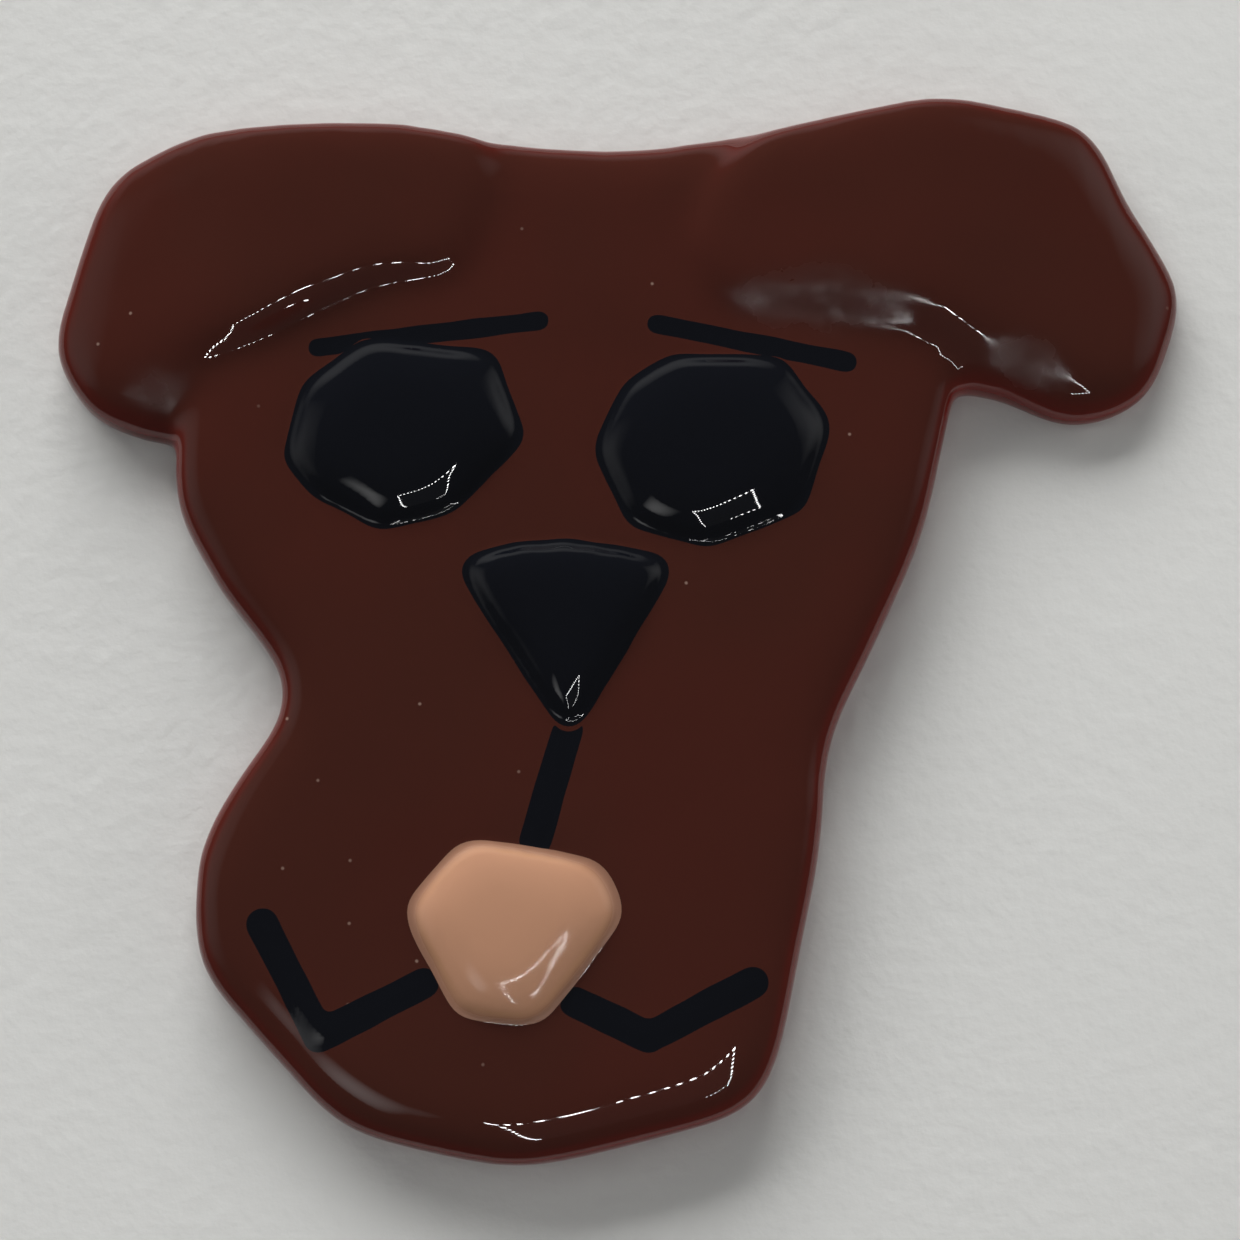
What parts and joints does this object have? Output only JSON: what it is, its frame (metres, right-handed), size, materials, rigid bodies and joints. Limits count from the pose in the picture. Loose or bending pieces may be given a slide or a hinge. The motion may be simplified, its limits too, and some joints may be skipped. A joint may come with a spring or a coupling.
{
  "type": "fused glass dog face plaque",
  "caption": "Flat-backed dog face of fused glass with draped ears, raised eyes, nose and tongue, and thin brow and mouth bars.",
  "frame": {"origin": "middle of the flat back, at the bottom centre of the overall box", "axes": "+Z out of the dog's face (the part lies on its back), +Y to the top of the head, +X to the viewer's right"},
  "size_m": [0.1124, 0.1064, 0.008],
  "materials": {
    "brown_glass": "opaque brown fusing glass, fire-polished gloss; kiln-shelf matte on the back",
    "black_glass": "opaque black fusing glass, fire-polished gloss",
    "peach_glass": "opaque peach fusing glass, fire-polished gloss"
  },
  "bodies": {
    "root": {"back_sheet": "brown_glass", "face_sheet": "brown_glass", "left_ear": "brown_glass", "right_ear": "brown_glass", "left_eye": "black_glass", "right_eye": "black_glass", "nose": "black_glass", "left_brow": "black_glass", "right_brow": "black_glass", "lip_bar": "black_glass", "tongue": "peach_glass", "mouth_left_outer": "black_glass", "mouth_left_inner": "black_glass", "mouth_right_inner": "black_glass", "mouth_right_outer": "black_glass"}
  },
  "joints": []
}
